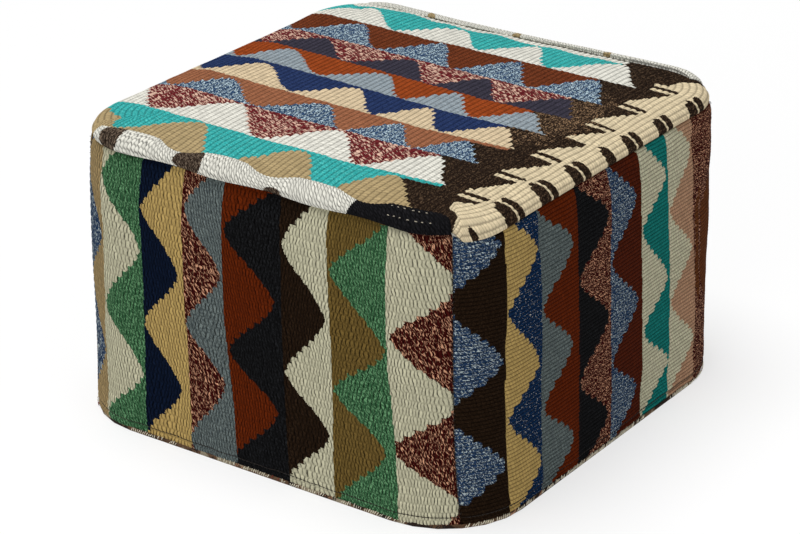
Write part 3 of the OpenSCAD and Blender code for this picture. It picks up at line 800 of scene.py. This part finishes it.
def closed_slab(name, outer, inner, back_rows, weave, kinds, yarns):
    """An outer face backed by an inner one in fewer rows; kinds holds the yarns of the outer quads."""
    face_rows = len(outer) - 1
    pick = np.rint(np.linspace(face_rows, 0, back_rows)).astype(int)
    p = np.concatenate([outer, inner[pick], outer[:1]])
    weave = np.concatenate([weave, weave[pick], weave[:1]])
    rows, cols = p.shape[:2]
    mesh, i, j = plain_grid(name, rows, cols)
    move_points(mesh, p[j, i])
    corner = np.empty(len(mesh.loops), np.int32)
    mesh.loops.foreach_get("vertex_index", corner)
    v = np.where(j <= face_rows, 0.94 * j / face_rows, 0.94 + 0.06 * (j - face_rows) / (back_rows + 1))
    uv = mesh.uv_layers.new(name="OFBake")
    uv.data.foreach_set("uv", np.stack([i / (cols - 1), v], -1)[corner].astype(np.float32).ravel())
    quads = corner.reshape(-1, 4)
    kind = kinds[np.minimum(j[quads].min(1), face_rows - 1), i[quads].min(1)]
    used = np.unique(kind)
    for k in used:
        mesh.materials.append(yarns[k])
    mesh.polygons.foreach_set("material_index", np.searchsorted(used, kind).astype(np.int32))
    smoothed(mesh)
    attribute = mesh.attributes.new("weave", "FLOAT_VECTOR", "POINT")
    attribute.data.foreach_set("vector", weave[j, i].astype(np.float32).ravel())
    return sealed(mesh)


def sealed(mesh):
    """Joins the back of a slab to its face and fills its open ends."""
    bm = bmesh.new()
    bm.from_mesh(mesh)
    bmesh.ops.remove_doubles(bm, verts=[v for v in bm.verts if v.is_boundary], dist=1e-6)
    ends = bmesh.ops.holes_fill(bm, edges=[e for e in bm.edges if e.is_boundary], sides=0)["faces"]
    bmesh.ops.triangulate(bm, faces=ends)
    bmesh.ops.recalc_face_normals(bm, faces=bm.faces)
    bm.to_mesh(mesh)
    bm.free()
    return mesh


def steps_in(count):
    """How many steps each of a row of points is from the nearer end."""
    return np.minimum(np.arange(count), count - 1 - np.arange(count))


PANEL_BACK_ROWS, SEAM_DIP = 10, 1.3


def woven_panel(name, p, weave, kinds, yarns, ribs, swelling, seed):
    """Outer face p gets the weave's relief, sinks a little into its seams, and is backed at a thickness."""
    rows, cols = p.shape[:2]
    n = normals_of(p)
    step_u = np.linalg.norm(p[:, 1:] - p[:, :-1], axis=-1).mean()
    step_v = np.linalg.norm(p[1:] - p[:-1], axis=-1).mean()
    from_edge = np.minimum.outer(steps_in(rows) * step_v, steps_in(cols) * step_u)
    height = weave_relief(weave, RELIEF, ribs) * np.clip(from_edge / 3.0, 0, 1)
    height += finer(swelling, rows, cols) + swell(p, 30.0, 0.8, seed) * np.clip(from_edge / 40, 0, 1)
    height -= SEAM_DIP * bell(from_edge, 2.2)
    outer = p + n * height[..., None]
    return closed_slab(name, outer, p - n * KILIM_T, PANEL_BACK_ROWS, weave, kinds, yarns), outer


def quad_middles(grid):
    return (grid[:-1, :-1] + grid[1:, 1:]) / 2


# How the filling swells the cover: Blender's cloth, run on a coarse grid of each panel

PANEL_STEPS, PRESSING_STEPS = 46, 20
PRESS, SPARE_CLOTH, STIFFNESS, BENDING = 1.6, -0.014, 40, 6
SWELL_OUT, SWELL_IN = 3.4, 1.3


def panel_starts():
    """A coarse grid of points for each side panel and the top panel."""
    starts = [side_grid(side, PANEL_STEPS, PANEL_STEPS)[0] for side in range(4)]
    a = np.linspace(-TOP_REACH, TOP_REACH, PANEL_STEPS)
    return starts + [top_place(*np.meshgrid(a, a))]


def press_out(body, sewn):
    """Lets the filling press on the cloth, held where it is sewn, and gives its points in millimetres."""
    body.vertex_groups.new(name="seams").add(sewn, 1.0, "REPLACE")
    cloth = body.modifiers.new("filling", "CLOTH")
    settings = {"quality": 4, "mass": 0.4, "tension_stiffness": STIFFNESS, "air_damping": 4,
                "compression_stiffness": STIFFNESS, "shear_stiffness": STIFFNESS / 2,
                "bending_stiffness": BENDING, "use_pressure": True, "uniform_pressure_force": PRESS,
                "vertex_group_mass": "seams", "shrink_min": SPARE_CLOTH}
    for key, value in settings.items():
        setattr(cloth.settings, key, value)
    cloth.settings.effector_weights.gravity = 0
    cloth.collision_settings.use_collision = False
    for step in range(PRESSING_STEPS):
        bpy.context.scene.frame_set(step + 1)
    pressed = body.evaluated_get(bpy.context.evaluated_depsgraph_get()).to_mesh()
    return points_of(pressed) / MM


def filled_out():
    """Cloth simulation: how far the filling presses each panel out between its sewn edges."""
    panel, i, j = plain_grid("one_panel", PANEL_STEPS, PANEL_STEPS)
    starts = panel_starts()
    bm = bmesh.new()
    for n, p in enumerate(starts):
        smaller = p + normals_of(p) * (swell(p, 25.0, 1.2, 60 + n)[..., None] - 1.5)
        move_points(panel, smaller[j, i])
        bm.from_mesh(panel)
    bpy.data.meshes.remove(panel)
    mesh = mesh_from(bm, "panels")
    body = in_scene("panels", mesh)
    at_edge = np.where(np.minimum(steps_in(PANEL_STEPS)[i], steps_in(PANEL_STEPS)[j]) == 0)[0]
    sewn = [int(k) + n * len(i) for n in range(len(starts)) for k in at_edge]
    moved = press_out(body, sewn).reshape(len(starts), len(i), 3)
    found = []
    for n, p in enumerate(starts):
        grid = np.zeros(p.shape)
        grid[j, i] = moved[n]
        out = ((grid - p) * normals_of(p)).sum(-1)
        found.append(np.where(out > 0, SWELL_OUT * np.tanh(out / 6), SWELL_IN * np.tanh(out / 3)))
    bpy.data.objects.remove(body)
    bpy.data.meshes.remove(mesh)
    bpy.context.scene.frame_set(1)
    return found


def finer(grid, rows, cols):
    """The same surface of heights on a finer grid."""
    old = np.linspace(0, 1, PANEL_STEPS)
    wide = np.array([np.interp(np.linspace(0, 1, cols), old, line) for line in grid])
    return np.array([np.interp(np.linspace(0, 1, rows), old, line) for line in wide.T]).T


def across_and_up(across, up):
    """Grids of what changes along the columns and of what changes along the rows."""
    return across[None, :] + np.zeros((len(up), 1)), up[:, None] + np.zeros((1, len(across)))


def side_grid(side, rows, cols):
    """Points of a side panel, their places along the side, their heights, and the seam above them."""
    c, v = across_and_up(np.linspace(-0.9992, 0.9992, cols), np.linspace(0, 1, rows))
    seam = RIM_H - drop_at(side, c + twist(RIM_H)) - 0.2
    seam = seam - droop(twisted_place(side, c, np.full_like(c, RIM_H - SIDE_DROP)))
    z = FOOT_Z + (seam - FOOT_Z) * v
    return twisted_place(side, c, z), (c + twist(z)) * SIDE_REACH, z, seam


# The outer face of each side panel, once it is woven
FACES = {}


def side_panel(side, swelling):
    ribbed = RIBS_PER_STEP[side] > 1
    rows, cols, ribs, yarns = (300, 310, 0.55, SHADED_RIBBED_YARNS) if ribbed else (238, 390, 0.35, SHADED_SIDE_YARNS)
    p, s, z, seam = side_grid(side, rows, cols)
    weave = hand_weave(s / DASH, z * RIBS_PER_STEP[side] / SIDE_RIB, 50 + 9 * side)
    kinds = side_pattern(side, quad_middles(s), quad_middles(z))
    below = seam - z
    lean_in = 2.6 if side in (FRONT, BACK) else 1.0
    tuck = 1.8 * bell(z - HEM_H - 1, 1.7) + 1.8 * bell(below, 9.0)
    tuck += lean_in * bell(below, 34.0)
    p = p - normals_of(p) * tuck[..., None]
    node = "side_panel_" + SIDE_NAMES[side]
    mesh, FACES[side] = woven_panel("cover_" + node, p, weave, kinds, yarns, ribs, swelling, side + 3)
    piece = place(mesh, "woven_" + node, "kilim_side", [node])


def top_panel(swelling):
    a, b = across_and_up(np.linspace(-TOP_REACH, TOP_REACH, 296), np.linspace(-TOP_REACH, TOP_REACH, 318))
    p = top_place(a, b)
    lowered = droop(p) * bell(TOP_REACH - np.maximum(np.abs(a), np.abs(b)), 15.0)
    p = p + np.stack([0.07 * lowered, -0.07 * lowered, -lowered], -1)
    weave = hand_weave(b / DASH, a / TOP_RIB, 90)
    kinds = top_pattern(quad_middles(a), quad_middles(b))
    mesh = woven_panel("cover_top", p, weave, kinds, TOP_YARNS, 0.8, swelling, 11)[0]
    piece = place(mesh, "woven_top_panel", "kilim_top", ["top_panel"])


ROLL_ENDS = {FRONT: (-0.935, 0.955), BACK: (-0.955, 0.945)}
ROLL_FOOT = {FRONT: 13.0, BACK: 10.0}
ROLL_OVER, ROLL_OFF, ROLL_BACK_ROWS = 0.72, 0.6, 6
LOOP, LOOP_RIB = 4.4, 5.6


def roll_wave(side, c):
    """The front roll is thick and thin by turns."""
    return np.cos(2 * np.pi * (c * RIM_REACH + 55) / 138) if side == FRONT else 0.4 + 0.6 * np.tanh(3 * c)


def roll_place(side, c, v, lift):
    """A point of a rolled edge: v runs from its foot (0) over the rounding (1) to its inner edge (2)."""
    wave = roll_wave(side, c)
    start = np.arcsin(1 - (ROLL_FOOT[side] + 1.0 * wave) / EDGE_R)
    top = np.radians(90 + (20 if side == FRONT else 10) * np.minimum(wave - 0.2, 0))
    p = edge_place(side, c, start + (top - start) * np.minimum(v, 1), lift)
    reach = 4.5 * np.maximum(wave, 0) * np.maximum(v - 1, 0) / TOP_HALF
    rise = CROWN_H * (1 - (1 - reach) ** 2)
    x, y, z = p[..., 0], p[..., 1], p[..., 2]
    return unevenly_filled(np.stack([x * (1 - reach), y * (1 - reach), z + rise], -1))


def to_roll_end(side, c):
    low, high = ROLL_ENDS[side]
    return np.minimum(c - low, high - c)


def roll_height(side, c, around):
    """How far a rolled edge stands proud, for around from its foot (0) to its inner edge (1)."""
    ends = np.sqrt(np.clip(to_roll_end(side, c) / (0.05 if side == FRONT else 0.1), 0, 1))
    if side == FRONT:
        thickness = THICK_ROLL + (THIN_ROLL - THICK_ROLL) * (c + 1) / 2
        proud = 0.84 * thickness * (1 + 0.25 * roll_wave(side, c))
    else:
        proud = 4.2 - 1.2 * np.tanh(3 * (c + 0.3))
    return proud * (0.2 + 0.8 * ends) * np.sin(np.pi * (0.13 + 0.8 * around)) ** 0.6


def rolled_edge(side, pattern, relief, unevenness):
    c, around = across_and_up(np.linspace(*ROLL_ENDS[side], 330), np.linspace(0, 1, 52))
    v = np.where(around < ROLL_OVER, around / ROLL_OVER, 1 + (around - ROLL_OVER) / (1 - ROLL_OVER))
    foot = 2.5 * bell(around, 0.12)
    base = roll_place(side, c, v, ROLL_OFF - foot)
    full = roll_place(side, c, v, ROLL_OFF - 0.6 * foot + roll_height(side, c, around))
    s = c * RIM_REACH
    weave = hand_weave((around * 30.0 + 0.55 * s) / LOOP, s / LOOP_RIB, 120 + side)
    kinds = pattern(quad_middles(s), quad_middles(around))
    soften = np.clip(np.minimum(around, 1 - around) * 8, 0, 1) * np.clip(to_roll_end(side, c) * 60, 0, 1)
    height = weave_relief(weave, relief, 0.45) * soften
    height += swell(full, 20.0, unevenness, 17 + side) * soften
    outer = full + normals_of(full) * height[..., None]
    node = SIDE_NAMES[side] + "_rolled_edge"
    mesh = closed_slab("cover_" + node, outer, base, ROLL_BACK_ROWS, weave, kinds, ROLL_YARNS)
    piece = place(mesh, "woven_" + node, "rolled_edge", [node])


# Threads: many short bowed stitches joined into one mesh

def sew(name, stitches, *threads):
    """Each stitch has a start, an end, an outward direction, a bow, a radius and its thread's number."""
    bead = bmesh.new()
    bmesh.ops.create_uvsphere(bead, u_segments=6, v_segments=6, radius=1.0)
    one = mesh_from(bead, "one_stitch")
    smoothed(one)
    ball = points_of(one).astype(float)
    bm = bmesh.new()
    for start, end, out, bow, radius, kind in stitches:
        axis = end - start
        length = np.linalg.norm(axis)
        axis = axis / length
        across = np.cross(axis, out)
        t = ball[:, 2:3]
        q = (start + end) / 2 + axis * t * (length / 2 + radius * 0.6)
        q = q + across * ball[:, 0:1] * radius + out * (ball[:, 1:2] * radius + bow * (1 - t * t))
        move_points(one, q)
        one.polygons.foreach_set("material_index", np.full(len(one.polygons), kind, np.int32))
        bm.from_mesh(one)
    bmesh.ops.recalc_face_normals(bm, faces=bm.faces)
    bpy.data.meshes.remove(one)
    mesh = mesh_from(bm, name)
    for thread in threads:
        mesh.materials.append(THREADS[thread])
    place(mesh, name, "thread")


def even_places(p, pitch, lift):
    """Places along a line of points at an even pitch, with the directions along and out."""
    run = np.concatenate([[0], np.cumsum(np.linalg.norm(np.diff(p, axis=0), axis=1))])
    count = int(run[-1] / pitch)
    for k in range(count):
        d = (k + 0.5) * run[-1] / count
        q, ahead = (np.array([np.interp(at, run, p[:, m]) for m in range(3)]) for at in (d, d + 1))
        along = ahead - q if d + 1 < run[-1] else along
        along = along / np.linalg.norm(along)
        out = np.cross(along, [0, 0, 1])
        yield q + out * lift, along, out


# Overcast stitches of each side: the share left out, and the mix of pale, dark, tan, brick and bare runs
OVERCAST = (0.3, "PPPDTB....."), (0.15, "PPPPPDTB."), (0.2, "PPPDTB.."), (0.2, "PPPDTB..")


def overcast():
    """Slanted stitches that bind the bottom edge, in runs of one thread with bare runs between."""
    stitches = []
    fine = np.linspace(-1, 1, 1200)
    for side, (bare, runs) in enumerate(OVERCAST):
        left, kind = 0, "P"
        for q, along, out in even_places(wall_place(side, fine, np.full_like(fine, 3.0)), 3.0, 0.9):
            if left <= 0:
                kind = rng.choice(runs)
                left = rng.randint(6, 22) if kind in "P." else rng.randint(2, 5)
            left -= 1
            if kind == "." or rng.random() < bare:
                continue
            lean = rng.uniform(0.2, 1.8)
            low = q - along * lean + np.array([0, 0, rng.uniform(-2.3, -1.2)])
            high = q + along * lean + np.array([0, 0, rng.uniform(0.6, 3.6)])
            stitches.append((low, high, out, 0.6, rng.uniform(0.4, 0.7), "PDTB".index(kind)))
    sew("overcast_stitches", stitches, "pale", "dark", "tan", "brick")


def topstitch():
    """The dark stitching that holds the canvas base, in its crease above the hem."""
    stitches = []
    for face in FACES.values():
        row = (HEM_H + 1 - FOOT_Z) / (RIM_H - SIDE_DROP - FOOT_Z) * (len(face) - 1)
        line = face[int(row)] + (face[int(row) + 1] - face[int(row)]) * (row % 1)
        line = np.pad(line, ((3, 3), (0, 0)), "edge")
        line = np.stack([np.convolve(line[:, m], np.ones(7) / 7, "valid") for m in range(3)], -1)
        for q, along, out in even_places(line, 5.6, 0.25):
            stitches.append((q - along * 2.5, q + along * 2.5, out, 0.15, 0.62, 0))
    sew("hem_topstitch", stitches, "dark")


def corner_stitches():
    """Short stitches across each upright seam."""
    stitches = []
    rise = np.array([0, 0, 1.2])
    for side in range(4):
        for z in np.arange(18, 356, 7.0):
            q = twisted_place(side, np.array([1.0]), np.array([z]))[0]
            out = q * [1, 1, 0]
            out = out / np.linalg.norm(out)
            along = np.cross([0, 0, 1], out)
            stitches.append((q - along * 1.7 - rise - out, q + along * 1.7 + rise - out, out, 0.5, 0.45, 0))
    sew("corner_stitches", stitches, "dark")


def roll_dots():
    """Two rows of white stitches on the black end of the front roll."""
    stitches = []
    for around, first in ((0.3, 186), (0.6, 192)):
        for s in np.arange(first, 246, 9.0):
            c = np.array([(s + rng.uniform(-1.8, 1.8)) / RIM_REACH])
            v = np.array([around / ROLL_OVER])
            high = roll_height(FRONT, c, np.array([around]))
            q = roll_place(FRONT, c, v, ROLL_OFF + high + 0.6)[0]
            out = q - roll_place(FRONT, c, v, high)[0]
            out = out / np.linalg.norm(out)
            lean = np.array([rng.uniform(1.0, 1.8), 0, rng.uniform(-0.5, 0.5)])
            stitches.append((q - lean, q + lean, out, 0.4, 0.6, 0))
    sew("roll_stitches", stitches, "dull")


# Pieces that follow their CAD solid

def cad_piece(node):
    return next(o for o in bpy.data.objects if o.get("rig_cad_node") == node)


def cut_finer(bm, low, high, step):
    for axis in range(3):
        count = int((high[axis] - low[axis]) / step)
        normal = [float(axis == k) for k in range(3)]
        for n in range(1, count + 1):
            where = [0.0, 0.0, 0.0]
            where[axis] = low[axis] + (high[axis] - low[axis]) * n / (count + 1)
            geom = bm.verts[:] + bm.edges[:] + bm.faces[:]
            bmesh.ops.bisect_plane(bm, geom=geom, dist=1e-6, plane_co=where, plane_no=normal)


def dressed(node, name, slot_name, material, step, amount, scale, seed, smooth=False):
    """A piece like its CAD solid, cut finer at a step and made uneven inwards by an amount."""
    bm = bmesh.new()
    bm.from_mesh(cad_piece(node).data)
    bmesh.ops.remove_doubles(bm, verts=bm.verts, dist=1e-5)
    low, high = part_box(node)
    cut_finer(bm, low, high, step * MM)
    bmesh.ops.triangulate(bm, faces=[f for f in bm.faces if len(f.verts) > 4])
    p = np.array([v.co[:] for v in bm.verts]) / MM
    bm.normal_update()
    n = np.array([v.normal[:] for v in bm.verts])
    shift = -np.abs(swell(p, scale, amount, seed))
    for vert, q in zip(bm.verts, (p + n * shift[:, None]) * MM):
        vert.co = q
    for face in bm.faces:
        face.smooth = smooth
    mesh = mesh_from(bm, name)
    mesh.materials.append(material)
    return place(mesh, name, slot_name, [node])


def hem_thread():
    dressed("hem_overcast", "hem_binding", "thread", THREAD_MIX, 12, 0.12, 3.0, 21, True)


def base():
    for half, seed in (("front", 31), ("rear", 32)):
        canvas = dressed("base_canvas_" + half, "canvas_" + half, "canvas", CANVAS, 14, 0.25, 30.0, seed)
        tape = dressed("zip_tape_" + half, "tape_" + half, "zip_tape", TAPE, 8, 0.06, 9.0, seed + 2)


def filling():
    dressed("liner_body", "liner_bag", "liner_cotton", LINER, 22, 0.25, 25.0, 41, True)
    dressed("liner_base", "liner_bag_base", "liner_cotton", LINER, 22, 0.2, 25.0, 42, True)
    for node, name, slot_name, material, amount, scale, seed, fill in (
            ("batting_wrap", "wadding_wrap", "wadding", WADDING, 1.0, 18.0, 43, 0.9),
            ("foam_topper", "foam_topper_block", "soft_foam", SOFT_FOAM, 0.6, 30.0, 44, 1.0),
            ("foam_core", "foam_core_block", "firm_foam", FIRM_FOAM, 0.4, 40.0, 45, 1.0)):
        block = dressed(node, name, slot_name, material, 22, amount, scale, seed, True)


def hard_parts():
    for material, names in ((PLASTIC, ("teeth_front", "teeth_rear", "bottom_stop", "top_stops")),
                            (BRASS, ("slider", "pull"))):
        for name in names:
            part = cad_piece("zip_" + name)
            part.data.materials.clear()
            part.data.materials.append(material)


# Floor, light and camera

def stage():
    mesh = plain_grid("floor", 3, 3)[0]
    mesh.transform(Matrix.Scale(30.0, 4))
    paint = Finish("floor_paint", 0.9, 0.0)
    paint.fill(paint.surface, {"Base Color": (0.34, 0.34, 0.34, 1), "Emission Color": (1, 1, 1, 1),
                               "Emission Strength": 0.6})
    mesh.materials.append(paint.material)
    in_scene("floor", mesh)


def lamp(name, at, power, kind):
    data = bpy.data.lights.new(name, kind)
    data.energy = power
    light = in_scene(name, data)
    light.location = at
    aim = np.array([0, 0, 0.2]) - np.array(at)
    flat = math.hypot(aim[0], aim[1])
    light.rotation_euler = (math.atan2(flat, -aim[2]), 0, math.atan2(aim[1], aim[0]) - math.pi / 2)
    return data


def studio():
    world = bpy.data.worlds.new("studio")
    world.use_nodes = True
    sky = world.node_tree
    Tree(sky).fill(sky.nodes["Background"], {"Color": (1, 1, 1, 1), "Strength": 0.3})
    bpy.context.scene.world = world
    lamp("overhead", (-0.35, -0.25, 2.7), 2.7, "SUN").angle = math.radians(40)
    front = lamp("front", (0.9, -3.0, 1.6), 22, "AREA")
    front.shape = "DISK"
    front.size = 1.6
    bpy.context.scene.view_settings.view_transform = "Standard"


# Camera at the photograph's angle: turn and height of the view, roll, and the point looked at
VIEW_AZ, VIEW_EL, VIEW_ROLL = math.radians(35.26), math.radians(24.29), math.radians(-0.2)
VIEW_DISTANCE, VIEW_RIGHT, VIEW_UP = 3494.1, -4.6, 143.0
FOCAL_PX, IMAGE_W, SENSOR_W = 2746.9, 800, 36.0


def camera():
    data = bpy.data.cameras.new("camera")
    data.sensor_width = SENSOR_W
    data.lens = SENSOR_W * FOCAL_PX / IMAGE_W
    eye = in_scene("camera", data)
    turn = Matrix.Rotation(VIEW_AZ, 4, "Z") @ Matrix.Rotation(math.pi / 2 - VIEW_EL, 4, "X")
    away = Matrix.Translation([v * MM for v in (VIEW_RIGHT, VIEW_UP, VIEW_DISTANCE)])
    eye.matrix_world = turn @ away @ Matrix.Rotation(VIEW_ROLL, 4, "Z")
    bpy.context.scene.camera = eye


camera()
studio()
stage()
*side_swellings, top_swelling = filled_out()
for number, swelling in enumerate(side_swellings):
    side_panel(number, swelling)
top_panel(top_swelling)
rolled_edge(FRONT, front_roll_pattern, 1.6, 1.0)
rolled_edge(BACK, back_roll_pattern, 1.0, 0.5)
overcast()
topstitch()
corner_stitches()
roll_dots()
hem_thread()
base()
filling()
hard_parts()
